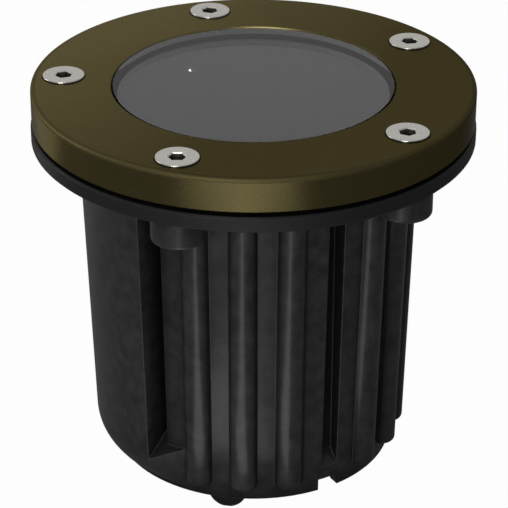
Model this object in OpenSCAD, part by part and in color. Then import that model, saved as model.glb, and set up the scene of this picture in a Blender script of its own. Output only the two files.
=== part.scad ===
// In ground well light. A round trim ring with a stepped glass is screwed over a ribbed housing
// that is sunk in the soil, and a lamp tilts in a cradle on a turning ring inside it.
// Millimetres. The origin is the centre of the footprint, at the level the feet stand on. +Z is up.
// Turns are counted from the front, which is -Y, and grow towards +X.

/* [Trim ring] */
// Diameter of the trim ring
ring_d = 120; // [118:1:124]
// Thickness of the trim ring
ring_t = 9.6; // [9.4:0.2:12]
// Rounding of the ring's outer top edge
ring_edge_r = 0.8; // [0.4:0.1:1.5]
// Chamfer along the ring's outer bottom edge
ring_lip = 0.5; // [0.3:0.1:0.8]
// Width of the ring from its outer edge to the window
ring_w = 21.7; // [21.5:0.1:22.5]
// Chamfer round the window
window_chamfer = 0.4; // [0.2:0.1:0.8]
// Thickness of the ring over the glass's foot
ring_web_t = 4.3; // [3.5:0.1:5]

/* [Cover screws] */
// Number of cover screws, bosses and insert nuts
screw_count = 5; // [3:1:6]
// Distance of the cover screws' axes from the ring's outer edge
screw_inset = 8.5; // [8:0.1:9]
// Turn of the first cover screw from the front
screw_turn = -21.8; // [-30:0.1:-15]
// Thread diameter of the cover screws
screw_d = 6; // [5:0.5:6]
// Head diameter of the cover screws
screw_head_d = 11.4; // [10:0.1:12]
// How far the flat head stands above the ring
screw_head_proud = 0.5; // [0.4:0.1:1]
// Rounding of the head's rim
screw_head_edge_r = 0.3; // [0.1:0.1:0.4]
// Width across the flats of the hexagon socket
screw_socket_w = 4; // [3:0.5:4]
// Depth of the hexagon socket
screw_socket_h = 2.4; // [1.5:0.1:2.6]
// Length of the screw below the ring's top face
screw_l = 19; // [17:0.5:20]

/* [Glass] */
// Thickness of the stepped glass
glass_t = 8; // [7.4:0.1:8.4]
// Thickness of the glass's foot, which the ring clamps
glass_foot_t = 3; // [2.5:0.1:3.6]
// Width of the foot beyond the glass's upper step
glass_foot_w = 4.3; // [3.5:0.1:4.6]
// How far the glass lies below the ring's top face
glass_inset = 0.3; // [0.1:0.1:0.6]
// Thickness of the gasket between the ring and the glass's foot
lens_gasket_t = 1; // [0.8:0.1:1.2]
// Thickness of the diffuser
diffuser_t = 1.5; // [1:0.1:2]
// Distance of the diffuser's rim inside the window's edge
diffuser_inset = 0.9; // [0.9:0.1:1.4]
// How far the seal's lip covers the diffuser's rim
diffuser_lap = 0.7; // [0.5:0.1:1]
// Depth of the seat for the diffuser in the housing's mouth
diffuser_sunk = 0.7; // [0.4:0.1:1]

/* [Housing] */
// Height of the housing from its rim to the top of its flange
housing_h = 97.7; // [95:0.1:105]
// Height of the feet below the rim
foot_h = 2.9; // [2:0.1:3.4]
// Radius of a foot's rounded outline
foot_r = 5.4; // [4:0.1:5.6]
// Flat worn along the bottom of each foot
foot_flat = 0.1; // [0.1:0.05:0.3]
// Number of feet
foot_count = 3; // [3:1:4]
// Turn of the first foot from the front
foot_turn = -10.4; // [-14:0.1:-10]
// Distance of the wall's outside from the chamber, at the rim
wall_low_w = 5.4; // [5:0.1:6]
// Distance of the wall's outside from the chamber, under the flange
wall_high_w = 7.8; // [7.4:0.1:8.2]
// How far the flange stands out beyond the ring
flange_proud = 0.3; // [-1.1:0.1:2]
// Thickness of the flange
flange_t = 4.3; // [4:0.1:6]
// Chamfer along the flange's edges
flange_chamfer = 0.5; // [0.2:0.1:0.8]
// Height of the gap between flange and ring, which is the flange gasket's thickness
flange_gap = 1; // [0.8:0.1:1.4]
// Radius of the screw bosses
boss_r = 7.2; // [6.6:0.1:7.4]
// Height of the bosses below the flange
boss_h = 8; // [6:0.1:9]
// Rounding of a boss's lower edge
boss_edge_r = 1.2; // [0.6:0.1:1.6]

/* [Ribs and grooves] */
// Angle from rib to rib
rib_pitch = 18; // [18:1:18]
// Radius of the half-round ribs
rib_r = 3.9; // [3.5:0.1:4.1]
// Depth of a rib's axis inside the wall
rib_sunk = 0.3; // [0:0.1:0.6]
// Rounding of a rib's lower end
rib_edge_r = 1.6; // [1:0.1:2]
// Height of the ribs' lower ends above the rim
rib_end_h = 4; // [3.5:0.1:6]
// How far the smooth panel stands out from the wall at its lower end
panel_low_w = 5.5; // [5.1:0.1:6.1]
// How far the smooth panel stands out from the wall under the flange
panel_high_w = 5.9; // [5.4:0.1:6.4]
// Height of the panel's lower end above the rim
panel_end_h = 0.3; // [0.2:0.1:2]
// Rounding of the panel's lower end
panel_edge_r = 10; // [6:0.1:11]
// Wall left between the groove floors and the chamber
groove_wall = 2.5; // [2.4:0.1:3]
// Width of the open grooves
groove_w = 5; // [4:0.1:5.5]
// Width of the grooves beside the panel
side_groove_w = 2.7; // [2.2:0.1:3]
// Height above the rim where an open groove's floor starts to run out
groove_ramp_h = 10.7; // [9:0.1:13]
// Height above the rim where a side groove's floor starts to run out
side_ramp_h = 15.5; // [14:0.1:17]
// Width of the cable notch in the rim
notch_w = 6.6; // [6:0.1:7.5]
// Height of the cable notch
notch_h = 3.4; // [3:0.1:4]

/* [Chamber] */
// Distance of the chamber's wall inside the window's edge
chamber_inset = 4.3; // [4.1:0.1:4.5]
// Width of the ledge that the gimbal ring turns on
ledge_w = 2.2; // [2:0.1:2.4]
// Depth of the ledge below the top of the flange
ledge_drop = 16.5; // [14.7:0.1:17.7]
// Thickness of the chamber's floor
floor_t = 4; // [3:0.1:5]
// Clear height between the gland's top and the lamp's socket
socket_gap = 4.3; // [3:0.1:4.5]
// Thickness of the skirt's wall at the rim
skirt_t = 3; // [2.5:0.1:3.2]

/* [Cable gland] */
// Thread diameter of the gland
gland_d = 12; // [12:1:12]
// Diameter of the cable that the seal grips
cable_d = 6.5; // [5:0.1:6.6]
// Distance of the gland's axis from the chamber's wall, on the side away from the cable notch
gland_inset = 17.8; // [16.8:0.1:19.8]
// Width across flats of the gland's hexagons
gland_hex_w = 15; // [15:0.5:16]
// Thickness of the gland's hexagon
gland_hex_t = 4; // [3.5:0.1:4.2]
// Thickness of the sealing washer under the hexagon
gland_washer_t = 1; // [0.8:0.1:1.2]
// Length of the gland's lower thread
gland_low_l = 9; // [8.5:0.1:9.5]
// Height of the clamping nut
gland_nut_h = 11.5; // [10.5:0.1:11.6]
// Thickness of the locknut inside the chamber
locknut_t = 3; // [2.5:0.1:4]

/* [Gimbal and lamp] */
// Clear width between the lamp cradle and the gimbal ring
cradle_gap = 2.2; // [2.15:0.05:2.45]
// Length of the lamp without its pins
lamp_l = 42; // [40:0.5:44]
// Height of the lamp's rim
lamp_rim_h = 4; // [3.5:0.1:4.4]
// Distance between the lamp's two pins
pin_gap = 5.3; // [4:0.1:6]
// Diameter of the lamp's pins
pin_d = 1.5; // [1:0.1:1.6]
// Thickness of the gimbal's sheet metal
gimbal_t = 1.5; // [1.2:0.1:1.6]
// Distance of the tilt axis below the gimbal ring
tilt_drop = 6; // [5.5:0.1:7]
// Diameter of the tilt pins
tilt_pin_d = 4; // [3:0.1:4.4]
// Wall of the lamp cradle
cradle_t = 1.4; // [1.2:0.1:1.5]
// Height of the lamp cradle above and below the tilt axis
cradle_half_h = 8; // [7.6:0.1:8.4]
// Wire of the clip that holds the lamp
clip_d = 1.2; // [1:0.1:1.3]

/* [Hidden] */
$fn = 72;

// Overrun of cuts, so that no skin is left
over = 1;
// Depth by which pieces of one moulding run into each other
sink = 0.4;
// Turn of the front from the X axis
front = -90;

// Clearances
glass_gap = 0.4;
running_gap = 0.06;
fixed_gap = 0.03;
face_gap = 0.1;
sink_gap = 0.25;
loose_gap = 0.3;

// Heights
rim_z = foot_h;
flange_top_z = rim_z + housing_h;
flange_low_z = flange_top_z - flange_t;
ring_low_z = flange_top_z + flange_gap;
ring_top_z = ring_low_z + ring_t;
ring_web_z = ring_top_z - ring_web_t;
glass_top_z = ring_top_z - glass_inset;
glass_low_z = glass_top_z - glass_t;
glass_foot_z = ring_web_z - lens_gasket_t;
diffuser_z = flange_top_z - diffuser_sunk;
ledge_z = flange_top_z - ledge_drop;

// Ring, glass and seals
shadow_w = 2.5;
window_r = ring_d / 2 - ring_w;
glass_r = window_r - glass_gap;
glass_foot_r = glass_r + glass_foot_w;
recess_r = glass_foot_r + glass_gap;
diffuser_r = window_r - diffuser_inset;
seal_lip_r = diffuser_r - diffuser_lap;
gasket_in_r = recess_r + loose_gap;
gasket_out_r = ring_d / 2 - shadow_w;
screw_ring_r = ring_d / 2 - screw_inset;
screw_hole_r = screw_d / 2 + glass_gap;
countersink_h = (screw_head_d - screw_d) / 2;

// Insert nuts
insert_r = 4.2;
insert_l = 9;
insert_groove_w = 1;
insert_groove_h = 0.4;

// Chamber
chamber_r = window_r - chamber_inset;
chamber_low_r = chamber_r - ledge_w;

// Gimbal
gimbal_z = ledge_z + face_gap;
gimbal_out_r = chamber_r - glass_gap;
gimbal_w = 5;
gimbal_in_r = gimbal_out_r - gimbal_w;
tilt_z = gimbal_z - tilt_drop;
ear_w = 10;
tilt_r = tilt_pin_d / 2;
pin_head_w = 1.2;
pin_head_r = tilt_r + pin_head_w;
pin_head_t = 0.8;
pin_shoulder_w = 1;
pin_shoulder_r = tilt_r + pin_shoulder_w;
arm_l = 31;
arm_low_z = tilt_z - arm_l;

// Cradle and lamp
cradle_out_r = gimbal_in_r - cradle_gap;
cradle_in_r = cradle_out_r - cradle_t;
lamp_r = cradle_in_r - sink_gap;
cradle_ledge_t = 1.2;
cradle_ledge_w = 1.8;
cradle_ledge_rise = 1;
cradle_ledge_z = tilt_z + cradle_ledge_rise;
lamp_rim_z = cradle_ledge_z + cradle_ledge_t + face_gap;
lamp_front_z = lamp_rim_z + lamp_rim_h;
lamp_low_z = lamp_front_z - lamp_l;
lamp_neck_share = 4 / 11;
lamp_neck_r = lamp_r * lamp_neck_share;
lamp_neck_h = 7;
lamp_lens_t = 2.5;
lamp_lip_w = 1.4;
lamp_lens_r = lamp_r - lamp_lip_w;
lamp_cup_h = 9;
lamp_cup_share = 16 / 33;
lamp_cup_r = lamp_r * lamp_cup_share;
fin_count = 7;
fin_t = 1.6;
fin_w = 2.4;
clip_r = cradle_in_r - clip_d / 2 + sink_gap;
clip_z = lamp_front_z + clip_d / 2 + face_gap;
clip_gap_w = 12;
socket_l = 18;
socket_w = 10;
socket_h = 8;
pin_l = 6.5;
socket_z = lamp_low_z - socket_h - face_gap;

// Floor, which lies below the lamp's socket and the gland's locknut
gland_spare_l = 1;
floor_top_z = socket_z - socket_gap - gland_spare_l - locknut_t;
floor_z = floor_top_z - floor_t;
floor_h = floor_z - rim_z;

// Rim and feet
wall_low_r = chamber_r + wall_low_w;
skirt_in_r = wall_low_r - skirt_t;
skirt_rise_share = (skirt_in_r - chamber_low_r) / floor_h;
foot_inset = 0.2;

// Wall, ribs and panel, with the ribs and grooves as steps of the rib's pitch from the front rib
wall_high_r = chamber_r + wall_high_w;
flange_r = ring_d / 2 + flange_proud;
panel_low_r = wall_low_r + panel_low_w;
panel_high_r = wall_high_r + panel_high_w;
groove_floor_r = chamber_r + groove_wall;
wall_h = flange_low_z - rim_z;
wall_lean = atan((wall_high_r - wall_low_r) / wall_h);
rib_end_z = rim_z + rib_end_h;
rib_run = wall_h - rib_end_h;
panel_end_z = rim_z + panel_end_h;
front_rib_turn = screw_turn + rib_pitch;
rib_root = 1.2;
rib_lean_share = 0.9;
rib_steps = [-1, 0, 1, 3, 4, 5, 6, 7, 9, 10, 11];
groove_steps = [2, 8];
panel_steps = [12, 18];
side_groove_turn = 1.6;
panel_turns = [
    front_rib_turn + panel_steps[0] * rib_pitch - side_groove_turn,
    front_rib_turn + panel_steps[1] * rib_pitch + side_groove_turn
];
groove_reach = panel_high_r - groove_floor_r + over;
open_ramp_share = 1.1;
side_ramp_share = 0.7;
apron_w = wall_low_r * sin(rib_pitch - side_groove_turn) - rib_r;
notch_turn = front_rib_turn + groove_steps[0] * rib_pitch;
notch_slope = 2;

// Retaining ring
snap_t = 1.2;
snap_w = 3.1;
snap_grip = 0.9;
snap_out_r = chamber_r + snap_grip;
snap_in_r = snap_out_r - snap_w;
snap_gap_w = 9;
snap_z = ledge_z + face_gap + gimbal_t + face_gap;

// Gland
gland_turn = notch_turn + 180;
gland_r = gland_d / 2;
gland_offset = chamber_low_r - gland_inset;
gland_hex_z = floor_z - gland_washer_t - gland_hex_t;
gland_low_z = gland_hex_z - gland_low_l;
gland_wall = 1.2;
gland_bore_r = cable_d / 2 + glass_gap;
gland_seat_h = 7;
seal_out_r = gland_r - gland_wall - face_gap;
seal_proud = 0.8;
gland_nut_wall = 2;
gland_nut_z = gland_low_z - seal_proud - face_gap - gland_nut_wall;
locknut_more_w = 1;
locknut_w = gland_hex_w + locknut_more_w;
gland_top_z = floor_top_z + locknut_t + gland_spare_l;

// Terminal block on the gimbal's long arm, and the leads from the lamp's socket
block_t = 8.4;
block_w = 17;
block_h = 12;
block_rise = 1.5;
block_z = arm_low_z + block_rise;
block_x = gimbal_in_r - face_gap - block_t;
block_pole = 8;
block_hump_h = 1.2;
block_wire_r = 1.3;
block_screw_r = 1.7;
block_screw_l = 2;
block_slot_w = 0.5;
block_fix_r = 1.25;
block_fix_head_r = 2.4;
lead_r = 0.9;
lead_gap = 5;
lead_seat = 2.5;
lead_rings = 18;
lead_sides = 10;

// Turns a piece to an angle counted from the front.
module at_turn(turn, r = 0) {
    rotate(turn + front) translate([r, 0, 0]) children();
}

// Copies a piece to every cover screw.
module at_screws() {
    for (i = [0 : screw_count - 1])
        at_turn(screw_turn + i * 360 / screw_count, screw_ring_r) children();
}

// A round bar with a rounded lower end, standing on z = 0.
module round_ended_bar(r, h, edge) {
    rotate_extrude() {
        translate([0, edge]) square([r, h - edge]);
        square([r - edge, edge + edge]);
        translate([r - edge, edge]) intersection() {
            circle(edge);
            translate([0, -edge]) square(2 * edge);
        }
    }
}

// A flat ring between two radii.
module flat_ring(r_in, r_out, h) {
    difference() {
        cylinder(r = r_out, h = h);
        translate([0, 0, -over]) cylinder(r = r_in, h = h + 2 * over);
    }
}

// A hexagon bar by its width across flats.
module hex_bar(across, h) {
    cylinder(d = across / cos(30), h = h, $fn = 6);
}

// The half-round rib that leans a little less than the wall, cut off flat inside it.
module rib() {
    at_wall = wall_low_r + (wall_high_r - wall_low_r) * rib_end_h / wall_h;
    translate([at_wall - rib_sunk, 0, rib_end_z]) rotate([0, wall_lean * rib_lean_share, 0]) intersection() {
        round_ended_bar(rib_r, rib_run + flange_t / 2, rib_edge_r);
        translate([-rib_root, -2 * rib_r, -over]) cube([4 * rib_r, 4 * rib_r, 2 * rib_run]);
    }
}

// The panel's shape in section, with its rounded lower edge, turned through an angle.
module panel_sweep(angle) {
    round_z = panel_end_z + panel_edge_r;
    rotate_extrude(angle = angle) {
        polygon([
            [chamber_r, round_z],
            [panel_low_r, round_z],
            [panel_high_r, flange_low_z + 3 * sink],
            [chamber_r, flange_low_z + 3 * sink]
        ]);
        translate([panel_low_r - panel_edge_r, round_z]) circle(panel_edge_r);
    }
}

// The smooth panel, whose foot runs out past each side groove as a low apron up to the next rib.
module panel() {
    difference() {
        rotate(panel_turns[0] - rib_pitch + front) panel_sweep(panel_turns[1] - panel_turns[0] + 2 * rib_pitch);
        at_turn(panel_turns[1]) clearing();
        at_turn(panel_turns[0]) mirror([0, 1, 0]) clearing();
    }
}

// What is cleared from the panel's shape past its end: all above the groove's ramp, and the slanted side.
module clearing() {
    half_w = side_groove_w / 2;
    translate([0, 2 * apron_w - half_w, 0])
        groove_cut(4 * apron_w, side_ramp_h, side_ramp_share, flange_top_z);
    linear_extrude(flange_top_z) polygon([
        [panel_low_r, -half_w],
        [wall_low_r, apron_w],
        [wall_low_r - 2 * (panel_low_r - wall_low_r), 3 * apron_w + 2 * half_w],
        [2 * panel_low_r, 3 * apron_w],
        [2 * panel_low_r, -half_w]
    ]);
}

// A groove's cut: straight down from the top level, then a floor that runs out.
module groove_cut(width, ramp_h, rise_share, top_z) {
    ramp_z = rim_z + ramp_h;
    rotate([90, 0, 0]) linear_extrude(width, center = true) polygon([
        [groove_floor_r, top_z],
        [groove_floor_r, ramp_z],
        [groove_floor_r + groove_reach, ramp_z - groove_reach * rise_share],
        [groove_floor_r + groove_reach, top_z]
    ]);
}

// The notch in the rim that the cable leaves by, with one slanted side.
module notch_cut() {
    rotate([90, 0, 90]) linear_extrude(4 * skirt_t, center = true) polygon([
        [-notch_w / 2, -foot_h],
        [-notch_w / 2, notch_h],
        [notch_w / 2 - notch_slope, notch_h],
        [notch_w / 2 + notch_slope / 2, -foot_h]
    ]);
}

// A foot: a rounded tab a little thinner than the rim's wall, worn flat below.
module foot() {
    difference() {
        intersection() {
            translate([chamber_r, 0, foot_r - foot_flat]) rotate([0, 90, 0])
                cylinder(r = foot_r, h = wall_low_r - chamber_r + over);
            translate([0, 0, -over]) flat_ring(skirt_in_r + 2 * foot_inset, wall_low_r - foot_inset, 3 * foot_r);
        }
        translate([0, -foot_r - over, -foot_r]) cube([2 * wall_low_r, 2 * foot_r + 2 * over, foot_r]);
    }
}

// The flange with its chamfered edges.
module flange() {
    rotate_extrude() polygon([
        [0, flange_low_z],
        [flange_r - flange_chamfer, flange_low_z],
        [flange_r, flange_low_z + flange_chamfer],
        [flange_r, flange_top_z - flange_chamfer],
        [flange_r - flange_chamfer, flange_top_z],
        [0, flange_top_z]
    ]);
}

// The hollow of the chamber, the ledge, the snap ring's groove, the floor's hole and the skirt.
module chamber_cut() {
    translate([0, 0, ledge_z]) cylinder(r = chamber_r, h = flange_top_z - ledge_z + over);
    translate([0, 0, floor_top_z]) cylinder(r = chamber_low_r, h = ledge_z - floor_top_z + over);
    translate([0, 0, snap_z]) cylinder(r = snap_out_r + face_gap, h = snap_t + face_gap);
    translate([0, 0, diffuser_z]) cylinder(r = diffuser_r + loose_gap, h = diffuser_sunk + over);
    translate([0, 0, rim_z - over])
        cylinder(r1 = skirt_in_r + over * skirt_rise_share, r2 = chamber_low_r, h = floor_h + over);
    at_turn(gland_turn, gland_offset) translate([0, 0, floor_z - over])
        cylinder(r = gland_r + face_gap, h = floor_t + 2 * over);
}

module housing() {
    color([0.10, 0.10, 0.105]) {
        difference() {
            union() {
                translate([0, 0, rim_z]) cylinder(r1 = wall_low_r, r2 = wall_high_r, h = wall_h + sink);
                flange();
                at_screws() translate([0, 0, flange_low_z - boss_h])
                    round_ended_bar(boss_r, boss_h + 2 * sink, boss_edge_r);
                for (step = rib_steps) at_turn(front_rib_turn + step * rib_pitch) rib();
                panel();
                for (i = [0 : foot_count - 1]) at_turn(foot_turn + i * 360 / foot_count) foot();
            }
            chamber_cut();
            for (step = groove_steps) at_turn(front_rib_turn + step * rib_pitch)
                groove_cut(groove_w, groove_ramp_h, open_ramp_share, flange_low_z);
            for (turn = panel_turns) at_turn(turn)
                groove_cut(side_groove_w, side_ramp_h, side_ramp_share, flange_low_z);
            at_turn(notch_turn, wall_low_r) translate([0, 0, rim_z]) notch_cut();
            at_screws() translate([0, 0, flange_top_z - insert_l])
                cylinder(r = insert_r + fixed_gap, h = insert_l + over);
        }
    }
}

module insert_nuts() {
    color([0.72, 0.56, 0.28]) at_screws() translate([0, 0, flange_top_z - insert_l]) difference() {
        cylinder(r = insert_r, h = insert_l);
        translate([0, 0, -over]) cylinder(r = screw_d / 2 + running_gap, h = insert_l + 2 * over);
        translate([0, 0, (insert_l - insert_groove_w) / 2])
            flat_ring(insert_r - insert_groove_h, insert_r + over, insert_groove_w);
    }
}

module flange_gasket() {
    color([0.05, 0.05, 0.05]) translate([0, 0, flange_top_z]) difference() {
        flat_ring(gasket_in_r, gasket_out_r, flange_gap);
        translate([0, 0, -over]) at_screws() cylinder(r = screw_hole_r, h = flange_gap + 2 * over);
    }
}

module retaining_ring() {
    color([0.7, 0.7, 0.72]) translate([0, 0, snap_z]) difference() {
        flat_ring(snap_in_r, snap_out_r, snap_t);
        translate([0, snap_out_r, snap_t / 2])
            cube([snap_gap_w, 2 * (snap_out_r - snap_in_r) + over, snap_t + over], center = true);
    }
}

module gland_body() {
    color([0.13, 0.13, 0.14]) at_turn(gland_turn, gland_offset) difference() {
        union() {
            translate([0, 0, gland_low_z]) cylinder(r = gland_r, h = gland_top_z - gland_low_z);
            translate([0, 0, gland_hex_z]) hex_bar(gland_hex_w, gland_hex_t);
        }
        translate([0, 0, gland_low_z - over])
            cylinder(r = gland_bore_r, h = gland_top_z - gland_low_z + 2 * over);
        translate([0, 0, gland_low_z - over]) cylinder(r = gland_r - gland_wall, h = gland_seat_h + over);
    }
}

module gland_washer() {
    color([0.06, 0.06, 0.06]) at_turn(gland_turn, gland_offset)
        translate([0, 0, floor_z - gland_washer_t])
            flat_ring(gland_r + face_gap, gland_hex_w / 2 + gland_washer_t, gland_washer_t);
}

module gland_locknut() {
    color([0.13, 0.13, 0.14]) at_turn(gland_turn, gland_offset) translate([0, 0, floor_top_z])
        difference() {
            hex_bar(locknut_w, locknut_t);
            translate([0, 0, -over]) cylinder(r = gland_r + fixed_gap, h = locknut_t + 2 * over);
        }
}

module gland_seal() {
    color([0.06, 0.06, 0.06]) at_turn(gland_turn, gland_offset)
        translate([0, 0, gland_low_z - seal_proud])
            flat_ring(cable_d / 2, seal_out_r, gland_seat_h + seal_proud);
}

module gland_nut() {
    color([0.13, 0.13, 0.14]) at_turn(gland_turn, gland_offset) translate([0, 0, gland_nut_z])
        difference() {
            hex_bar(gland_hex_w, gland_nut_h);
            translate([0, 0, -over]) cylinder(r = gland_bore_r, h = gland_nut_wall + 2 * over);
            translate([0, 0, gland_nut_wall]) cylinder(r = gland_r + running_gap, h = gland_nut_h);
        }
}

module trim_ring() {
    color([0.25, 0.225, 0.14]) difference() {
        rotate_extrude() {
            polygon([
                [0, ring_low_z],
                [ring_d / 2 - ring_lip, ring_low_z],
                [ring_d / 2, ring_low_z + ring_lip],
                [ring_d / 2, ring_top_z - ring_edge_r],
                [0, ring_top_z - ring_edge_r]
            ]);
            translate([0, ring_top_z - 2 * ring_edge_r])
                square([ring_d / 2 - ring_edge_r, 2 * ring_edge_r]);
            translate([ring_d / 2 - ring_edge_r, ring_top_z - ring_edge_r]) circle(ring_edge_r);
        }
        translate([0, 0, ring_low_z]) cylinder(r = window_r, h = ring_t + over);
        translate([0, 0, ring_low_z - over]) cylinder(r = recess_r, h = ring_web_z - ring_low_z + over);
        translate([0, 0, ring_top_z - window_chamfer])
            cylinder(r1 = window_r, r2 = window_r + 2 * window_chamfer, h = 2 * window_chamfer);
        at_screws() translate([0, 0, ring_low_z - over]) cylinder(r = screw_hole_r, h = ring_t + 2 * over);
        at_screws() translate([0, 0, ring_top_z - countersink_h]) cylinder(
            r1 = screw_d / 2 + sink_gap, r2 = screw_head_d / 2 + sink_gap + over, h = countersink_h + over);
    }
}

module glass_lens() {
    color([0.75, 0.82, 0.84, 0.4]) union() {
        translate([0, 0, glass_low_z]) cylinder(r = glass_foot_r, h = glass_foot_z - glass_low_z);
        translate([0, 0, glass_foot_z - sink]) cylinder(r = glass_r, h = glass_top_z - glass_foot_z + sink);
    }
}

module lens_gasket() {
    color([0.05, 0.05, 0.05]) translate([0, 0, glass_foot_z])
        flat_ring(window_r + face_gap, glass_foot_r, lens_gasket_t);
}

module lens_seal() {
    color([0.07, 0.07, 0.07]) difference() {
        translate([0, 0, flange_top_z]) flat_ring(seal_lip_r, glass_foot_r, glass_low_z - flange_top_z);
        translate([0, 0, flange_top_z - over])
            cylinder(r = diffuser_r + face_gap, h = diffuser_z + diffuser_t - flange_top_z + over);
    }
}

module diffuser() {
    color([0.62, 0.62, 0.62]) translate([0, 0, diffuser_z]) cylinder(r = diffuser_r, h = diffuser_t);
}

module cover_screws() {
    shank_l = screw_l - countersink_h;
    head_r = screw_head_d / 2;
    color([0.8, 0.79, 0.77]) at_screws() difference() {
        union() {
            translate([0, 0, ring_top_z - screw_l]) cylinder(d = screw_d, h = shank_l + sink);
            translate([0, 0, ring_top_z - countersink_h])
                cylinder(r1 = screw_d / 2, r2 = head_r, h = countersink_h);
            translate([0, 0, ring_top_z]) rotate_extrude() {
                square([head_r, screw_head_proud - screw_head_edge_r]);
                square([head_r - screw_head_edge_r, screw_head_proud]);
                translate([head_r - screw_head_edge_r, screw_head_proud - screw_head_edge_r])
                    circle(screw_head_edge_r);
            }
        }
        translate([0, 0, ring_top_z + screw_head_proud - screw_socket_h])
            hex_bar(screw_socket_w, screw_socket_h + over);
    }
}

// The sheet ring that turns on the ledge, with a short ear and a long arm bent down from it.
module gimbal_ring() {
    color([0.72, 0.73, 0.74]) difference() {
        union() {
            translate([0, 0, gimbal_z]) flat_ring(gimbal_in_r, gimbal_out_r, gimbal_t);
            ear(tilt_z - ear_w / 2);
            mirror([1, 0, 0]) ear(tilt_z - ear_w / 2);
            translate([gimbal_in_r, -ear_w / 2, arm_low_z])
                cube([gimbal_t, ear_w, tilt_z - arm_low_z]);
        }
        translate([0, 0, tilt_z]) rotate([0, 90, 0])
            cylinder(r = tilt_r + running_gap, h = 4 * gimbal_out_r, center = true);
        translate([gimbal_in_r - over, 0, block_z + block_h / 2]) rotate([0, 90, 0])
            cylinder(r = block_fix_r + fixed_gap, h = gimbal_t + 2 * over);
    }
}

// One ear of the gimbal ring, rounded below.
module ear(low_z) {
    translate([gimbal_in_r, -ear_w / 2, tilt_z]) cube([gimbal_t, ear_w, gimbal_z + gimbal_t - tilt_z]);
    translate([gimbal_in_r, 0, low_z + ear_w / 2]) rotate([0, 90, 0]) cylinder(d = ear_w, h = gimbal_t);
    translate([gimbal_in_r, -ear_w / 2, gimbal_z]) cube([gimbal_t + over, ear_w, gimbal_t]);
}

module terminal_block() {
    wire_z = block_z - over;
    color([0.85, 0.85, 0.82]) difference() {
        union() {
            translate([block_x, -block_w / 2, block_z]) cube([block_t, block_w, block_h]);
            for (side = [-1, 1]) translate([block_x - block_hump_h, side * block_pole / 2, block_z])
                translate([0, -block_pole / 2 + block_hump_h, 0])
                    cube([block_hump_h + sink, block_pole - 2 * block_hump_h, block_h]);
        }
        for (side = [-1, 1], level_share = [1 / 4, 3 / 4])
            translate([block_x - block_hump_h - over, side * block_pole / 2, block_z + level_share * block_h])
                rotate([0, 90, 0]) cylinder(r = block_screw_r, h = block_t / 2 + over);
        for (side = [-1, 1]) translate([block_x + block_t / 2, side * block_pole / 2, wire_z])
            cylinder(r = block_wire_r, h = block_h + 2 * over);
        translate([block_x + block_t / 2, 0, block_z + block_h / 2]) rotate([0, 90, 0])
            cylinder(r = block_fix_r + fixed_gap, h = block_t);
    }
}

module terminal_screws() {
    screw_r = block_screw_r - face_gap;
    color([0.75, 0.62, 0.35]) for (side = [-1, 1], level_share = [1 / 4, 3 / 4])
        translate([block_x, side * block_pole / 2, block_z + level_share * block_h]) rotate([0, 90, 0])
            difference() {
                cylinder(r = screw_r, h = block_screw_l);
                translate([-block_slot_w / 2, -2 * screw_r, -block_slot_w])
                    cube([block_slot_w, 4 * screw_r, 2 * block_slot_w]);
            }
}

module block_screw() {
    color([0.7, 0.7, 0.72]) translate([gimbal_in_r + gimbal_t, 0, block_z + block_h / 2]) difference() {
        union() {
            rotate([0, 90, 0]) cylinder(r = block_fix_head_r, h = pin_head_t);
            rotate([0, -90, 0]) cylinder(r = block_fix_r, h = gimbal_t + block_t / 2 - face_gap);
        }
        translate([pin_head_t / 2, -block_fix_head_r - over, -pin_head_t / 4])
            cube([pin_head_t, 2 * block_fix_head_r + 2 * over, pin_head_t / 2]);
    }
}

module lamp_cradle() {
    color([0.72, 0.73, 0.74]) difference() {
        translate([0, 0, tilt_z - cradle_half_h])
            cylinder(r = cradle_out_r, h = 2 * cradle_half_h);
        translate([0, 0, cradle_ledge_z + cradle_ledge_t])
            cylinder(r = cradle_in_r, h = 2 * cradle_half_h);
        translate([0, 0, tilt_z - 2 * cradle_half_h])
            cylinder(r = cradle_in_r, h = cradle_ledge_z - tilt_z + 2 * cradle_half_h);
        cylinder(r = cradle_in_r - cradle_ledge_w, h = ring_top_z);
        translate([0, 0, clip_z]) rotate_extrude() translate([clip_r, 0]) circle(clip_d / 2 + face_gap);
        translate([0, 0, tilt_z]) rotate([0, 90, 0])
            cylinder(r = tilt_r + fixed_gap, h = 4 * cradle_out_r, center = true);
    }
}

module pivot_pins() {
    pin_start_x = cradle_in_r + loose_gap;
    shoulder_x = cradle_out_r + face_gap;
    color([0.8, 0.8, 0.82]) for (side = [0, 1]) mirror([side, 0, 0]) translate([0, 0, tilt_z])
        rotate([0, 90, 0]) {
            translate([0, 0, pin_start_x])
                cylinder(r = tilt_r, h = gimbal_in_r + gimbal_t + face_gap + pin_head_t - pin_start_x);
            translate([0, 0, shoulder_x])
                cylinder(r = pin_shoulder_r, h = gimbal_in_r - face_gap - shoulder_x);
            translate([0, 0, gimbal_in_r + gimbal_t + face_gap])
                cylinder(r = pin_head_r, h = pin_head_t);
        }
}

module lamp_clip() {
    color([0.8, 0.8, 0.82]) translate([0, 0, clip_z]) difference() {
        rotate_extrude() translate([clip_r, 0]) circle(d = clip_d);
        translate([0, -clip_r, 0]) cube([clip_gap_w, 2 * clip_r - clip_gap_w, 2 * clip_d], center = true);
    }
}

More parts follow.
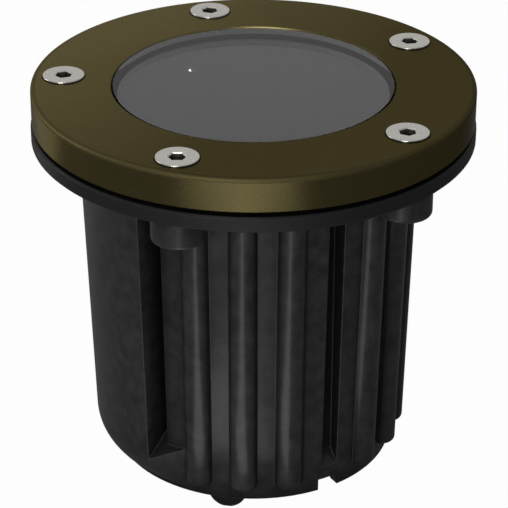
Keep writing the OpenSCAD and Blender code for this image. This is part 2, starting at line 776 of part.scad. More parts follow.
// The lamp's finned body, with a cup in its face for the light source.
module lamp_shell() {
    body_h = lamp_l - lamp_rim_h - lamp_neck_h;
    fin_step = body_h / fin_count;
    body_r = lamp_r - cradle_ledge_w - fin_w;
    color([0.82, 0.82, 0.8]) difference() {
        union() {
            translate([0, 0, lamp_rim_z]) cylinder(r = lamp_r, h = lamp_rim_h);
            translate([0, 0, lamp_low_z]) cylinder(r = lamp_neck_r, h = lamp_neck_h + sink);
            translate([0, 0, lamp_low_z + lamp_neck_h])
                cylinder(r1 = lamp_neck_r, r2 = body_r, h = body_h + sink);
            for (i = [0 : fin_count - 1]) let (up_share = i / fin_count)
                translate([0, 0, lamp_low_z + lamp_neck_h + i * fin_step])
                    cylinder(r = lamp_neck_r + (body_r - lamp_neck_r) * up_share + fin_w, h = fin_t);
        }
        translate([0, 0, lamp_front_z - lamp_lens_t]) cylinder(r = lamp_lens_r, h = lamp_lens_t + over);
        translate([0, 0, lamp_front_z - lamp_lens_t - lamp_cup_h])
            cylinder(r1 = lamp_cup_r / 2, r2 = lamp_cup_r, h = lamp_cup_h + over);
    }
}

module lamp_front() {
    color([0.9, 0.92, 0.92, 0.6]) translate([0, 0, lamp_front_z - lamp_lens_t])
        cylinder(r = lamp_lens_r - face_gap, h = lamp_lens_t);
}

module lamp_pins() {
    color([0.75, 0.74, 0.7]) for (side = [-1, 1])
        translate([side * pin_gap / 2, 0, lamp_low_z - pin_l]) cylinder(d = pin_d, h = pin_l);
}

module lamp_socket() {
    color([0.88, 0.87, 0.83]) difference() {
        intersection() {
            translate([-socket_l / 2, -socket_w / 2, socket_z]) cube([socket_l, socket_w, socket_h]);
            translate([0, 0, socket_z]) cylinder(d = socket_l, h = socket_h);
        }
        for (side = [-1, 1]) translate([side * pin_gap / 2, 0, socket_z + socket_h - pin_l])
            cylinder(r = pin_d / 2 + face_gap, h = pin_l + over);
        for (y = [-lead_gap / 2, lead_gap / 2])
            translate([socket_l / 2 - lead_seat - face_gap, y, socket_z + socket_h / 4])
                rotate([0, 90, 0]) cylinder(r = lead_r + fixed_gap, h = socket_l / 2);
    }
}

// A point of a lead's route: out of the socket's side, then up into the terminal block.
function lead_point(y, share) = let (
    start = [socket_l / 2 - lead_seat, y, socket_z + socket_h / 4],
    finish = [block_x + block_t / 2, y < 0 ? -block_pole / 2 : block_pole / 2, block_z + block_h / 4 - block_screw_r],
    bend_a = [finish[0], start[1], start[2]],
    bend_b = [finish[0], finish[1], start[2]])
    start * pow(1 - share, 3) + bend_a * 3 * share * pow(1 - share, 2)
    + bend_b * 3 * pow(share, 2) * (1 - share) + finish * pow(share, 3);

// A tube swept along points that lie close to an upright plane through X.
module swept_tube(points, r, sides) {
    last = len(points) - 1;
    along = [for (i = [0 : last]) points[min(i + 1, last)] - points[max(i - 1, 0)]];
    rings = [for (i = [0 : last]) let (
        t = along[i] / norm(along[i]),
        side = cross([0, 1, 0], t) / norm(cross([0, 1, 0], t)),
        across = cross(t, side))
        each [for (k = [0 : sides - 1]) points[i]
            + r * (cos(360 * k / sides) * side + sin(360 * k / sides) * across)]];
    faces = [
        [for (k = [0 : sides - 1]) k],
        for (i = [0 : last - 1], k = [0 : sides - 1]) let (n = (k + 1) % sides)
            each [[i * sides + k, (i + 1) * sides + k, (i + 1) * sides + n],
                [i * sides + k, (i + 1) * sides + n, i * sides + n]],
        [for (k = [sides - 1 : -1 : 0]) last * sides + k]
    ];
    polyhedron(rings, faces);
}

module lamp_leads() {
    color([0.75, 0.74, 0.7]) for (y = [-lead_gap / 2, lead_gap / 2])
        swept_tube([for (i = [0 : lead_rings]) lead_point(y, i / lead_rings)], lead_r, lead_sides);
}

housing();
insert_nuts();
flange_gasket();
retaining_ring();
gland_body();
gland_washer();
gland_locknut();
gland_seal();
gland_nut();
trim_ring();
glass_lens();
lens_gasket();
lens_seal();
diffuser();
cover_screws();
gimbal_ring();
terminal_block();
terminal_screws();
block_screw();
lamp_cradle();
pivot_pins();
lamp_clip();
lamp_shell();
lamp_front();
lamp_pins();
lamp_socket();
lamp_leads();
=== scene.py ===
import math

import bpy
from mathutils import Matrix, Vector


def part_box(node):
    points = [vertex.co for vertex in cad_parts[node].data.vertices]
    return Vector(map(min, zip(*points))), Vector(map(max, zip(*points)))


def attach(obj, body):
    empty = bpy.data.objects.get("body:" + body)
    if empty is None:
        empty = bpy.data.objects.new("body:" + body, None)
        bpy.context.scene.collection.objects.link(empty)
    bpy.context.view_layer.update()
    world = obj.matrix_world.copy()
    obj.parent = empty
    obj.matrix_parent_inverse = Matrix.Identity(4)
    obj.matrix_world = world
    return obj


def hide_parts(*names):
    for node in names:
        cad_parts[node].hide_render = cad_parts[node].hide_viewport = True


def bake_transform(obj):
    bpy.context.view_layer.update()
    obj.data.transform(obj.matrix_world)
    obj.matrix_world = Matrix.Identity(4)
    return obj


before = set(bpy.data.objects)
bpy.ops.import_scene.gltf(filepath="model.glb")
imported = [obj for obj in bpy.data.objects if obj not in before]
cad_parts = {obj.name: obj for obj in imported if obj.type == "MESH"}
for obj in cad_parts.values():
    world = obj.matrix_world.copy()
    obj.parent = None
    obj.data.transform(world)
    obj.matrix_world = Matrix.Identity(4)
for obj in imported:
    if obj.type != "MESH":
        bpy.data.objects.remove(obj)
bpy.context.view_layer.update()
mm = 0.001


# The camera. It stands where the photograph was taken from, a little over half a metre away and
# looking down on the ring, found by fitting the ring, the screws, the window and the rim.
ring_top = 111.2 * mm
camera_back, camera_up = 565.3 * mm, 247.9 * mm
pitch, roll, yaw = math.radians(28.0), math.radians(0.123), math.radians(0.021)
sight = Vector((math.sin(yaw) * math.cos(pitch), math.cos(yaw) * math.cos(pitch), -math.sin(pitch)))
level_right = Vector((math.cos(yaw), -math.sin(yaw), 0))
level_up = level_right.cross(sight)
right = level_right * math.cos(roll) + level_up * math.sin(roll)
up = level_up * math.cos(roll) - level_right * math.sin(roll)
focal_length, picture_width, sensor_width = 2287.0, 508, 36  # the first two in pixels, the last in mm
camera_data = bpy.data.cameras.new("camera")
camera_data.sensor_width = sensor_width
camera_data.lens = focal_length / picture_width * sensor_width
camera_data.clip_start, camera_data.clip_end = 0.01, 50
camera = bpy.data.objects.new("camera", camera_data)
camera_place = Matrix.Translation((0, -camera_back, ring_top + camera_up))
camera.matrix_world = camera_place @ Matrix((right, up, -sight)).transposed().to_4x4()
bpy.context.scene.collection.objects.link(camera)
bpy.context.scene.camera = camera
bpy.context.scene.view_settings.view_transform = "Standard"


# The studio floor: one sheet of white paper that runs far past the picture. The camera sees it
# nearly white, and the light keeps its soft shadow on it.
class Shade:
    """One socket of a finish. Arithmetic on it adds Math nodes, and add() makes any other node."""

    def __init__(self, tree, socket=None):
        self.tree, self.socket = tree, socket

    def feed(self, place, value):
        if isinstance(value, Shade):
            self.tree.links.new(value.socket, place)
        else:
            place.default_value = value

    def add(self, kind, settings=None, sockets=None, output=0):
        node = self.tree.nodes.new("ShaderNode" + kind)
        for name, value in (settings or {}).items():
            setattr(node, name, value)
        for name, value in (sockets or {}).items():
            self.feed(node.inputs[name], value)
        return Shade(self.tree, node.outputs[output]) if node.outputs else None

    def sum(self, operation, first, second):
        return self.add("Math", {"operation": operation}, {0: first, 1: second})

    def __add__(self, other):
        return self.sum("ADD", self, other)

    __radd__ = __add__

    def __mul__(self, other):
        return self.sum("MULTIPLY", self, other)

    __rmul__ = __mul__

    def __sub__(self, other):
        return self.sum("SUBTRACT", self, other)

    def __rsub__(self, other):
        return self.sum("SUBTRACT", other, self)

    def __pow__(self, other):
        return self.sum("POWER", self, other)


def new_finish(name):
    """A new material and the start of its nodes."""
    material = bpy.data.materials.new(name)
    material.use_nodes = True
    material.node_tree.nodes.clear()
    return material, Shade(material.node_tree)


def noise(start, place, scale, detail, roughness=0.5):
    """A cloudy pattern from 0 to 1 with this many waves to the metre."""
    return start.add("TexNoise", {}, {"Vector": place, "Scale": scale, "Detail": detail, "Roughness": roughness})


def colour_mix(start, share, first, second):
    """A colour between two, by a share."""
    return start.add("Mix", {"data_type": "RGBA"}, {0: share, 6: first, 7: second}, 2)


def seen_as_background(start):
    """Two shares: what the camera sees straight on, and what gloss and glass show of the rest."""
    straight = start.add("LightPath", output="Is Camera Ray")
    glossy = start.add("LightPath", output="Is Glossy Ray")
    through = start.add("LightPath", output="Is Transmission Ray")
    return straight, start.sum("MINIMUM", glossy + through, 1.0) * (1 - straight)


paper_half = 3.0
paper_corners = [(x * paper_half, y * paper_half, 0) for x, y in ((-1, -1), (1, -1), (1, 1), (-1, 1))]
paper_mesh = bpy.data.meshes.new("floor")
paper_mesh.from_pydata(paper_corners, [], [(0, 1, 2, 3)])
paper = bpy.data.objects.new("floor", paper_mesh)
bpy.context.scene.collection.objects.link(paper)
paper_finish, start = new_finish("floor_paper")
fibre = noise(start, start.add("TexCoord", output="Object"), 40.0, 4.0)
paper_tone = colour_mix(start, fibre, (0.28, 0.28, 0.28, 1), (0.3, 0.3, 0.3, 1))
paper_light = start.add("BsdfDiffuse", {}, {"Color": paper_tone})
paper_white = start.add("Emission", {}, {"Color": (1, 1, 1, 1), "Strength": 1.0})
straight, shown = seen_as_background(start)
paper_share = straight * 0.98 + shown * 0.03
paper_surface = start.add("MixShader", {}, {0: paper_share, 1: paper_light, 2: paper_white})
start.add("OutputMaterial", {}, {"Surface": paper_surface})
paper_mesh.materials.append(paper_finish)


# The studio light: a white room that fills softly, large softboxes at the front, left, top and
# back, cards on the floor that shine in the ring's edge, and a small lamp that sparks in the glass.
room = bpy.data.worlds.new("room")
room.use_nodes = True
room.node_tree.nodes.clear()
start = Shade(room.node_tree)
fill_level, wall_level, front_level, side_level = 0.05, 0.43, 0.2, 0.04
straight, shown = seen_as_background(start)
away = start.add("TexCoord", output="Generated")
behind = start.add("SeparateXYZ", {}, {"Vector": away}, "Y")
beside = start.add("SeparateXYZ", {}, {"Vector": away}, "X")
gloss_level = (wall_level + front_level) / 2 + behind * ((wall_level - front_level) / 2) - beside * side_level
room_level = fill_level * (1 - straight - shown) + straight + shown * gloss_level
room_glow = start.add("Background", {}, {"Color": (1, 1, 1, 1), "Strength": room_level})
start.add("OutputWorld", {}, {"Surface": room_glow})
bpy.context.scene.world = room
aim_height = 0.07


def softbox(name, turn, rise, distance, width, height, level):
    """An area lamp that faces the well light. Its turn is from the front, towards +X."""
    turn, rise = math.radians(turn), math.radians(rise)
    away = Vector((math.sin(turn) * math.cos(rise), -math.cos(turn) * math.cos(rise), math.sin(rise)))
    lamp = bpy.data.lights.new(name, "AREA")
    lamp.shape, lamp.size, lamp.size_y = "RECTANGLE", width, height
    lamp.energy = level * math.pi * width * height
    stand = bpy.data.objects.new(name, lamp)
    stand.location = Vector((0, 0, aim_height)) + away * distance
    stand.rotation_mode = "QUATERNION"
    stand.rotation_quaternion = away.to_track_quat("Z", "Y")
    stand.visible_transmission = stand.visible_camera = False
    bpy.context.scene.collection.objects.link(stand)
    return stand


softbox("front_softbox", -14, 14, 1.2, 0.32, 0.6, 10.2)
softbox("left_softbox", -104, 14, 1.2, 0.5, 0.6, 2.6)
softbox("top_softbox", -20, 65, 1.3, 0.5, 0.5, 3.0)
softbox("back_softbox", 160, 28, 1.2, 0.4, 0.4, 9.0).visible_glossy = False
for name, card_turn, card_back, card_width, card_length, card_level in (
        ("wide_card", -6, 0.34, 0.26, 0.2, 1.0), ("narrow_card", -6, 0.34, 0.09, 0.2, 0.55),
        ("near_card", -6, 0.14, 0.05, 0.16, 2.0), ("left_card", -122, 0.3, 0.16, 0.16, 0.5)):
    card = softbox(name, card_turn, 0, card_back, card_width, card_length, card_level)
    card.location.z = 2 * mm
    card.rotation_mode = "XYZ"
    card.rotation_euler = (math.pi, 0, 0)
softbox("spark_lamp", 182.456, 24.691, 1.5244, 0.002, 0.002, 10.0)


# The housing. One moulding of black glass-filled plastic with a flange, ribs, grooves, a smooth
# panel and three feet. Its skin is satin and faintly mottled. Its edges are painted lighter, partly
# rubbed wear and partly painted highlight, and painted shade darkens its recesses and the flange
# under the ring.
def dress(name, material):
    """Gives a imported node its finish."""
    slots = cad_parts[name].data.materials
    slots.clear()
    slots.append(material)


def axes_of(start, place):
    """The x, y and z of a place, each on its own."""
    parts = start.add("SeparateXYZ", {}, {"Vector": place})
    return [Shade(start.tree, output) for output in parts.socket.node.outputs]


def stretched(start, place, scale):
    """A place drawn out along an axis, for marks that run one way."""
    return start.add("Mapping", {}, {"Vector": place, "Scale": scale})


def held_to_one(start, value):
    """A value kept between 0 and 1."""
    return start.sum("MINIMUM", start.sum("MAXIMUM", value, 0.0), 1.0)


def rounded_normal(start, radius):
    """The surface's direction with its edges rounded off."""
    return start.add("Bevel", {"samples": 4}, {"Radius": radius})


def edge_of(start, rounded, gain):
    """Grows from 0 on the faces to 1 on the edges."""
    flat = start.add("NewGeometry", output="Normal")
    along = start.add("VectorMath", {"operation": "DOT_PRODUCT"}, {0: rounded, 1: flat}, "Value")
    return start.sum("MINIMUM", (1 - along) * gain, 1.0)


def painted_shade_share(start, reach):
    """1 on open faces, and less in a recess or between ribs; it paints shade into a colour."""
    return start.add("AmbientOcclusion", {"samples": 6}, {"Distance": reach}, "AO")


def raised(start, height, depth, normal=None, strength=1.0):
    """A bumped surface direction from a height of 0 to 1 that stands for a depth in metres."""
    sockets = {"Height": height, "Strength": strength, "Distance": depth}
    if normal is not None:
        sockets["Normal"] = normal
    return start.add("Bump", {}, sockets)


def give_surface(start, sockets):
    """Closes a finish with its shader."""
    start.add("OutputMaterial", {}, {"Surface": start.add("BsdfPrincipled", {}, sockets)})


flange_depth, edge_round_width, recess_reach = 4.4 * mm, 0.45 * mm, 9 * mm
black_plastic, start = new_finish("black_plastic")
place = start.add("TexCoord", output="Object")
rounded = rounded_normal(start, edge_round_width)
high = axes_of(start, place)[2]
# Painted shade: the flange under the ring's overhang is painted darker, and its edges are painted less light there.
shaded_under_ring = start.sum("GREATER_THAN", high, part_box("flange_gasket")[0].z - flange_depth)
edges = edge_of(start, rounded, 5.0) * (1 - shaded_under_ring * 0.75)
mottle = noise(start, place, 260.0, 5.0, 0.6)
cloud = noise(start, place, 38.0, 3.0)
grain = noise(start, place, 2600.0, 2.0)
streak = noise(start, stretched(start, place, (1.0, 1.0, 0.05)), 900.0, 2.0)
skin = held_to_one(start, (mottle - 0.35) * 2.2)
base = colour_mix(start, skin, (0.0135, 0.0135, 0.0137, 1), (0.038, 0.038, 0.0382, 1))
base = colour_mix(start, shaded_under_ring, base, (0.01, 0.01, 0.0102, 1))
# Painted shade: recesses, grooves and the gaps between ribs are painted nearly black.
base = colour_mix(start, painted_shade_share(start, recess_reach) ** 2.2, (0.003, 0.003, 0.003, 1), base)
# Edges painted lighter: partly rubbed wear, and partly a painted highlight along the edges.
base = colour_mix(start, edges * 0.8, base, (0.08, 0.08, 0.08, 1))
give_surface(start, {
    "Base Color": base,
    "Roughness": 0.32 + cloud * 0.12 + mottle * 0.1 + shaded_under_ring * 0.12,
    "Specular IOR Level": 0.2,
    "Coat Weight": 0.26 - shaded_under_ring * 0.2,
    "Coat Roughness": 0.2,
    "Normal": raised(start, grain * 0.5 + streak * 0.4 + mottle * 1.6, 0.05 * mm, rounded, 0.7),
})
dress("housing", black_plastic)


# The five insert nuts. Turned brass with a groove round the middle, moulded into the bosses so that
# the cover screws have metal to hold in.
def turned_metal(name, colour, dark, roughness, scale=3200.0):
    """Bare metal with fine tool marks and small spots of tarnish."""
    material, start = new_finish(name)
    place = start.add("TexCoord", output="Object")
    marks = noise(start, stretched(start, place, (1.0, 1.0, 6.0)), scale, 2.0)
    tarnish = noise(start, place, 240.0, 4.0)
    give_surface(start, {
        "Base Color": colour_mix(start, tarnish, colour, dark),
        "Metallic": 1.0,
        "Roughness": roughness + tarnish * 0.15,
        "Normal": raised(start, marks, 0.01 * mm, rounded_normal(start, 0.12 * mm), 0.5),
    })
    return material


brass = turned_metal("brass", (0.72, 0.52, 0.24, 1), (0.5, 0.33, 0.13, 1), 0.25)
dress("insert_nuts", brass)


# The cable gland. Dark nylon body, clamping nut and locknut with a moulded thread, a rubber washer
# under the floor and a rubber seal inside, screwed through the floor of the housing.
thread_inside, thread_outside = 5.9 * mm, 6.05 * mm


def moulded_plastic(name, colour, light, roughness, thread_pitch=0.0, axis=(0.0, 0.0)):
    """Satin plastic with a fine grain, and a thread round an upright axis if a pitch is given."""
    material, start = new_finish(name)
    place = start.add("TexCoord", output="Object")
    cloud = noise(start, place, 320.0, 4.0)
    grain = noise(start, place, 3000.0, 2.0)
    rounded = rounded_normal(start, 0.25 * mm)
    normal = raised(start, grain, 0.02 * mm, rounded, 0.5)
    if thread_pitch:
        x, y, z = axes_of(start, place)
        turn = start.sum("ARCTAN2", y - axis[1], x - axis[0])
        wave = start.add("Math", {"operation": "SINE"}, {0: z * (math.tau / thread_pitch) + turn})
        out = ((x - axis[0]) ** 2.0 + (y - axis[1]) ** 2.0) ** 0.5
        shank = start.sum("LESS_THAN", out, thread_outside) * start.sum("GREATER_THAN", out, thread_inside)
        normal = raised(start, wave * shank, 0.35 * mm, normal)
    give_surface(start, {
        "Base Color": colour_mix(start, cloud, colour, light),
        "Roughness": roughness + cloud * 0.12,
        "Specular IOR Level": 0.35,
        "Normal": normal,
    })
    return material


def soft_rubber(name, colour, light):
    """Matte rubber with a fine chalky grain."""
    material, start = new_finish(name)
    place = start.add("TexCoord", output="Object")
    chalk = noise(start, place, 900.0, 5.0)
    give_surface(start, {
        "Base Color": colour_mix(start, chalk, colour, light),
        "Roughness": 0.62 + chalk * 0.2,
        "Specular IOR Level": 0.25,
        "Normal": raised(start, chalk, 0.03 * mm, rounded_normal(start, 0.15 * mm), 0.5),
    })
    return material


gland_axis, gland_pitch = (-7.46 * mm, 11.85 * mm), 1.5 * mm
gland_dark, gland_light = (0.035, 0.035, 0.038, 1), (0.05, 0.05, 0.054, 1)
gland_plastic = moulded_plastic("gland_plastic", gland_dark, gland_light, 0.38, gland_pitch, gland_axis)
black_rubber = soft_rubber("black_rubber", (0.012, 0.012, 0.012, 1), (0.026, 0.026, 0.026, 1))
for name in ("gland_body", "gland_locknut", "gland_nut"):
    dress(name, gland_plastic)
for name in ("gland_washer", "gland_seal"):
    dress(name, black_rubber)


# The flange gasket. A flat ring of black rubber, cut from sheet and pinched between the flange and
# the trim ring by the cover screws.
dress("flange_gasket", black_rubber)


# The gimbal. A ring of pressed zinc-plated sheet that turns on the housing's ledge under a sprung
# retaining ring of blackened steel.
sheet_steel, start = new_finish("sheet_steel")
place = start.add("TexCoord", output="Object")
spangle = start.add("TexVoronoi", {}, {"Vector": place, "Scale": 520.0}, "Distance")
haze = noise(start, place, 110.0, 4.0)
rolled = noise(start, stretched(start, place, (0.06, 1.0, 1.0)), 3000.0, 2.0)
give_surface(start, {
    "Base Color": colour_mix(start, haze, (0.62, 0.63, 0.64, 1), (0.44, 0.45, 0.45, 1)),
    "Metallic": 1.0,
    "Roughness": 0.28 + spangle * 0.12 + haze * 0.1,
    "Normal": raised(start, rolled, 0.01 * mm, rounded_normal(start, 0.2 * mm), 0.5),
})
dress("gimbal_ring", sheet_steel)
dress("retaining_ring", turned_metal("spring_steel", (0.3, 0.3, 0.31, 1), (0.16, 0.16, 0.165, 1), 0.35))


# The terminal block. A two-pole block of white nylon with brass clamping screws, held to the
# gimbal's long arm by a small steel screw.
dress("terminal_block", moulded_plastic("block_nylon", (0.74, 0.73, 0.69, 1), (0.8, 0.79, 0.76, 1), 0.42))
dress("terminal_screws", brass)
steel = turned_metal("steel", (0.66, 0.65, 0.63, 1), (0.5, 0.49, 0.47, 1), 0.22)
dress("block_screw", steel)


# The lamp's cradle. A spun cup of the same sheet as the gimbal, hung on two steel tilt pins, with a
# clip of sprung wire that holds the lamp in it.
dress("lamp_cradle", sheet_steel)
dress("pivot_pins", steel)
dress("lamp_clip", steel)


# The lamp. A finned body of cast aluminium with a pressed glass front, two pins and a ceramic
# socket pushed onto them.
cast, start = new_finish("cast_aluminium")
place = start.add("TexCoord", output="Object")
pores = noise(start, place, 1500.0, 4.0)
patch = noise(start, place, 150.0, 3.0)
give_surface(start, {
    "Base Color": colour_mix(start, patch, (0.66, 0.66, 0.65, 1), (0.5, 0.5, 0.5, 1)),
    "Metallic": 0.9,
    "Roughness": 0.38 + pores * 0.15,
    "Normal": raised(start, pores, 0.03 * mm, rounded_normal(start, 0.2 * mm), 0.5),
})
dress("lamp_shell", cast)
dress("lamp_pins", steel)
dress("lamp_socket", moulded_plastic("socket_ceramic", (0.72, 0.7, 0.65, 1), (0.8, 0.78, 0.74, 1), 0.55))

lamp_glass, start = new_finish("lamp_glass")
place = start.add("TexCoord", output="Object")
pressed = start.add("TexVoronoi", {"feature": "SMOOTH_F1"}, {"Vector": place, "Scale": 420.0}, "Distance")
give_surface(start, {
    "Base Color": (0.8, 0.82, 0.83, 1),
    "Roughness": 0.1 + pressed * 0.12,
    "Transmission Weight": 0.7,
    "IOR": 1.5,
    "Normal": raised(start, pressed, 0.4 * mm),
})
dress("lamp_front", lamp_glass)


# The lamp's light source: a yellow chip on its board, with a faceted and silvered reflector round
# it, pressed into the cup of the lamp's body.
def turned_piece(name, rings, body, material, sharp=35.0):
    """A closed or open piece from rings of points, one inside the next, that rides on a body."""
    points = [p for ring in rings for p in ring]
    sides = len(rings[0])
    faces = []
    for low in range(0, (len(rings) - 1) * sides, sides):
        high = low + sides
        faces += [(low + k, low + (k + 1) % sides, high + (k + 1) % sides, high + k) for k in range(sides)]
    mesh = bpy.data.meshes.new(name)
    mesh.from_pydata(points, [], faces)
    mesh.polygons.foreach_set("use_smooth", [True] * len(mesh.polygons))
    mesh.set_sharp_from_angle(angle=math.radians(sharp))
    mesh.materials.append(material)
    piece = bpy.data.objects.new(name, mesh)
    bpy.context.scene.collection.objects.link(piece)
    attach(piece, body)
    return piece


def ring_of(radius, z, sides=48):
    """A ring of points. The radius is a number or a function of the turn."""
    turns = [math.tau * k / sides for k in range(sides)]
    radii = [radius(t) if callable(radius) else radius for t in turns]
    return [(r * math.cos(t), r * math.sin(t), z) for r, t in zip(radii, turns)]


def faceted(radius):
    """The radius of a round wall pressed into 24 shallow flutes, by the turn."""
    return lambda t: radius * (1 - 0.02 * abs(math.sin(12 * t)))


cup_depth, silver_thick, fine_sides = 9 * mm, 0.35, 96
cup_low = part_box("lamp_front")[0].z - cup_depth
silver = turned_metal("silvered", (0.86, 0.87, 0.88, 1), (0.8, 0.8, 0.81, 1), 0.06, 900.0)
bowl = [(5.8, 0.5), (7.2, 1.9), (8.5, 3.9), (9.7, 6.2), (10.6, 8.8)]
reflector_rings = [ring_of(faceted(r * mm), cup_low + h * mm, fine_sides) for r, h in bowl]
reflector_rings += [ring_of((r + silver_thick) * mm, cup_low + h * mm, fine_sides) for r, h in reversed(bowl)]
turned_piece("reflector", reflector_rings + reflector_rings[:1], "lamp", silver, 12)
phosphor, start = new_finish("phosphor")
place = start.add("TexCoord", output="Object")
speck = noise(start, place, 2400.0, 3.0)
give_surface(start, {
    "Base Color": colour_mix(start, speck, (0.85, 0.6, 0.08, 1), (0.75, 0.48, 0.05, 1)),
    "Roughness": 0.3 + speck * 0.2,
    "Normal": raised(start, speck, 0.03 * mm),
})
chip = ((0.01, 0.1), (5.4, 0.1), (5.4, 0.7), (5.1, 0.85), (4.7, 0.85), (4.5, 1.1), (4.2, 1.25), (0.01, 1.3))
chip_rings = [ring_of(r * mm, cup_low + h * mm) for r, h in chip]
turned_piece("light_source", chip_rings, "lamp", phosphor)


# The lamp's two leads. Stranded wire in a braided glass sleeve, from the socket's side up into the
# terminal block.
lead_radius, lead_steps, lead_sides = 0.9 * mm, 40, 16
braid_turns, braid_rows = math.tau * 4, 260.0
braid, start = new_finish("braided_sleeve")
place = start.add("TexCoord", output="UV")
along, around = axes_of(start, place)[:2]
left_hand = start.add("Math", {"operation": "SINE"}, {0: along * braid_rows + around * braid_turns})
right_hand = start.add("Math", {"operation": "SINE"}, {0: along * braid_rows - around * braid_turns})
weave = start.sum("MAXIMUM", left_hand, right_hand) * 0.5 + 0.5
give_surface(start, {
    "Base Color": colour_mix(start, weave, (0.42, 0.4, 0.35, 1), (0.72, 0.7, 0.64, 1)),
    "Roughness": 0.6 + weave * 0.15,
    "Normal": raised(start, weave, 0.12 * mm),
})
for side, name in ((-1, "lamp_lead_left"), (1, "lamp_lead_right")):
    socket_end = Vector((6.5, side * 2.5, 36.4)) * mm
    block_end = Vector((24.3, side * 4.0, 50.0)) * mm
    level_pull = Vector((block_end.x, socket_end.y, socket_end.z))
    upright_pull = Vector((block_end.x, block_end.y, socket_end.z))
    route = [socket_end * (1 - s) ** 3 + level_pull * 3 * s * (1 - s) ** 2
             + upright_pull * 3 * s * s * (1 - s) + block_end * s ** 3
             for s in (i / lead_steps for i in range(lead_steps + 1))]
    points, faces, uvs = [], [], []
    for i, p in enumerate(route):
        t = (route[min(i + 1, lead_steps)] - route[max(i - 1, 0)]).normalized()
        across = Vector((0, 1, 0)).cross(t).normalized()
        other = t.cross(across)
        for k in range(lead_sides):
            turn = math.tau * k / lead_sides
            points.append(p + lead_radius * (math.cos(turn) * across + math.sin(turn) * other))
    for i in range(lead_steps):
        low, high = i * lead_sides, (i + 1) * lead_sides
        for k in range(lead_sides):
            n = (k + 1) % lead_sides
            faces.append((low + k, low + n, high + n, high + k))
            uvs += [(i / lead_steps, k / lead_sides), (i / lead_steps, (k + 1) / lead_sides),
                    ((i + 1) / lead_steps, (k + 1) / lead_sides), ((i + 1) / lead_steps, k / lead_sides)]
    last = lead_steps * lead_sides
    faces += [tuple(reversed(range(lead_sides))), tuple(last + k for k in range(lead_sides))]
    uvs += [(0.0, 0.0)] * (2 * lead_sides)
    mesh = bpy.data.meshes.new(name)
    mesh.from_pydata(points, [], faces)
    mesh.polygons.foreach_set("use_smooth", [len(f) == 4 for f in faces])
    layer = mesh.uv_layers.new(name="sleeve")
    for corner, uv in zip(layer.data, uvs):
        corner.uv = uv
    mesh.materials.append(braid)
    lead = bpy.data.objects.new(name, mesh)
    bpy.context.scene.collection.objects.link(lead)
    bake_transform(lead)
    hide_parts("lamp_leads")


# The diffuser. A disc of smoked plastic with a frosted face, which lies in the housing's mouth and
# is held down by the glass.
frosted, start = new_finish("frosted_plastic")
place = start.add("TexCoord", output="Object")
frost = noise(start, place, 3500.0, 3.0)
smoke = noise(start, place, 30.0, 2.0)
give_surface(start, {
    "Base Color": colour_mix(start, smoke, (0.019, 0.019, 0.0186, 1), (0.034, 0.034, 0.033, 1)),
    "Roughness": 0.55 + frost * 0.2,
    "Normal": raised(start, frost, 0.02 * mm, None, 0.6),
})
dress("diffuser", frosted)


# The glass and its seals. Clear toughened glass 8 mm thick with a stepped foot, on a grey silicone
# seal and under a rubber gasket, with fine smears on its polished faces.
clear_glass, start = new_finish("clear_glass")
place = start.add("TexCoord", output="Object")
smear = noise(start, place, 55.0, 6.0, 0.65)
give_surface(start, {
    "Base Color": (0.95, 0.97, 0.965, 1),
    "Roughness": smear * 0.02,
    "Transmission Weight": 1.0,
    "IOR": 1.5,
})
dress("glass_lens", clear_glass)
dress("lens_gasket", black_rubber)
dress("lens_seal", soft_rubber("grey_silicone", (0.14, 0.125, 0.15, 1), (0.19, 0.172, 0.2, 1)))


# The trim ring. Cast metal under a satin bronze-coloured coat, with a softly rounded outer edge, a
# chamfered window and five countersunk holes. Its colour carries painted light on the left and
# back, and painted shade on its edges and its top outer shoulder.
shoulder_radius, shoulder_depth = 58.7 * mm, 1.2 * mm
bronze_coat, start = new_finish("bronze_coat")
place = start.add("TexCoord", output="Object")
rounded = rounded_normal(start, 0.25 * mm)
edges = edge_of(start, rounded, 4.0)
flake_tone = axes_of(start, start.add("TexVoronoi", {}, {"Vector": place, "Scale": 3800.0}, "Color"))[0]
peel = noise(start, place, 700.0, 2.0)
cloud = noise(start, place, 22.0, 3.0)
x, y, z = axes_of(start, place)
out = (x ** 2.0 + y ** 2.0) ** 0.5
shoulder = start.sum("GREATER_THAN", out, shoulder_radius) * start.sum("GREATER_THAN", z, ring_top - shoulder_depth)
# Painted light: the coat is painted lighter towards the left and the back, where more light falls on it.
lit_side_share = held_to_one(start, 0.25 - x * 11.0 + y * 9.0 + (cloud - 0.5) * 0.5)
base = colour_mix(start, lit_side_share, (0.115, 0.096, 0.04, 1), (0.268, 0.226, 0.104, 1))
base = colour_mix(start, flake_tone * 0.15, base, (0.18, 0.148, 0.068, 1))
# Painted shade: the rounded edges are toned down and the top outer shoulder is painted darker, to hold back their
# highlight.
base = colour_mix(start, edges * (1 - shoulder) * 0.2, base, (0.16, 0.135, 0.07, 1))
base = colour_mix(start, shoulder * 0.3, base, (0.05, 0.042, 0.018, 1))
worn = start.sum("MAXIMUM", edges * 0.6, shoulder * 0.3)
give_surface(start, {
    "Base Color": base,
    "Metallic": 1.0,
    "Roughness": 0.23 + cloud * 0.06 + flake_tone * 0.02 + worn,
    "Specular IOR Level": 0.3,
    "Specular Tint": (0.5, 0.48, 0.46, 1),
    "Normal": raised(start, peel * 0.9 + flake_tone * 0.1, 0.02 * mm, rounded, 0.3),
})
dress("trim_ring", bronze_coat)


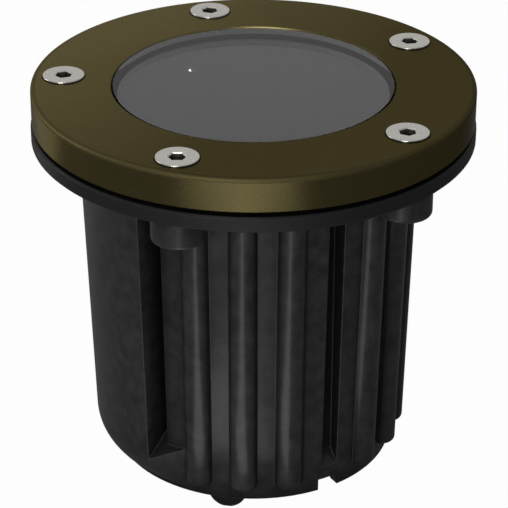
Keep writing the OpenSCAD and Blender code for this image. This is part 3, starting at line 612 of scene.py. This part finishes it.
# The five cover screws. Stainless steel with flat countersunk heads, hexagon sockets and a coarse
# thread, screwed through the ring and the gasket into the brass inserts.
screw_low, screw_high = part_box("cover_screws")[0].z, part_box("cover_screws")[1].z
socket_half, socket_depth = 2.0 * mm, 2.2 * mm
thread_radius, thread_depth, pitch_of_thread = 3.0 * mm, 0.58 * mm, 1.0 * mm
head_z = screw_high - 0.5 * mm
stainless, start = new_finish("stainless")
place = start.add("TexCoord", output="Object")
x, y = axes_of(start, place)[:2]
out = (x ** 2.0 + y ** 2.0) ** 0.5
marks = start.add("TexNoise", {"noise_dimensions": "1D"}, {"W": out, "Scale": 5200.0, "Detail": 2.0})
dull = noise(start, place, 500.0, 4.0)
brushed = colour_mix(start, dull, (1.0, 0.965, 0.89, 1), (0.88, 0.845, 0.78, 1))
give_surface(start, {
    # Painted shade: the hexagon socket and the other hollows of the screw are painted nearly black.
    "Base Color": colour_mix(start, painted_shade_share(start, 3 * mm) ** 2.5, (0.02, 0.02, 0.02, 1), brushed),
    "Metallic": 0.9,
    "Roughness": 0.2 + dull * 0.12,
    "Normal": raised(start, marks, 0.012 * mm, rounded_normal(start, 0.15 * mm), 0.6),
})


def hexagon(half):
    """The radius of a hexagon across its flats, by the turn."""
    return lambda t: half / math.cos((t % (math.pi / 3)) - math.pi / 6)


def thread(z, low, high):
    """The radius of the thread at a height, by the turn, running out at both ends."""
    def radius(t):
        wave = abs(((z / pitch_of_thread - t / math.tau) % 1) * 2 - 1)
        fade = max(0.0, min(1.0, (z - low) / (1.0 * mm), (high - z) / (1.2 * mm)))
        blunt = (1 - fade) * (0.5 if z < low + 1.5 * mm else 0.0)
        return thread_radius - thread_depth * (wave * fade + blunt)
    return radius


thread_low, thread_high = screw_low + 0.4 * mm, head_z - 3.2 * mm
thread_rows = int((thread_high - thread_low) / pitch_of_thread * 6)
rows = [thread_low + (thread_high - thread_low) * i / thread_rows for i in range(thread_rows + 1)]
head = ((3.0, -2.75), (3.05, -2.68), (5.66, -0.05), (5.7, 0.02), (5.7, 0.24),
        (5.66, 0.36), (5.57, 0.45), (5.44, 0.495), (5.3, 0.5))
screw_rings = [ring_of(0.01 * mm, screw_low), ring_of(2.3 * mm, screw_low)]
screw_rings += [ring_of(thread(z, thread_low, thread_high), z) for z in rows]
screw_rings += [ring_of(r * mm, head_z + h * mm) for r, h in head]
screw_rings += [ring_of(radius, screw_high - depth) for radius, depth in (
    (2.85 * mm, 0), (hexagon(socket_half + 0.28 * mm), 0), (hexagon(socket_half), 0.25 * mm),
    (hexagon(socket_half), socket_depth), (hexagon(socket_half * 0.97), socket_depth),
    (1.5 * mm, socket_depth + 0.05 * mm), (0.01 * mm, socket_depth + 0.2 * mm))]
screw_circle, first_turn, screw_step = 51.5 * mm, -21.8, 72
for count in range(5):
    turn = math.radians(first_turn + screw_step * count)
    centre = Vector((screw_circle * math.sin(turn), -screw_circle * math.cos(turn), 0))
    screw = turned_piece(f"cover_screw_{count + 1}", screw_rings, "screws", stainless)
    screw.matrix_world = Matrix.Translation(centre) @ Matrix.Rotation(0.6 * count, 4, "Z")
    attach(screw, "screws")
    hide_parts("cover_screws")
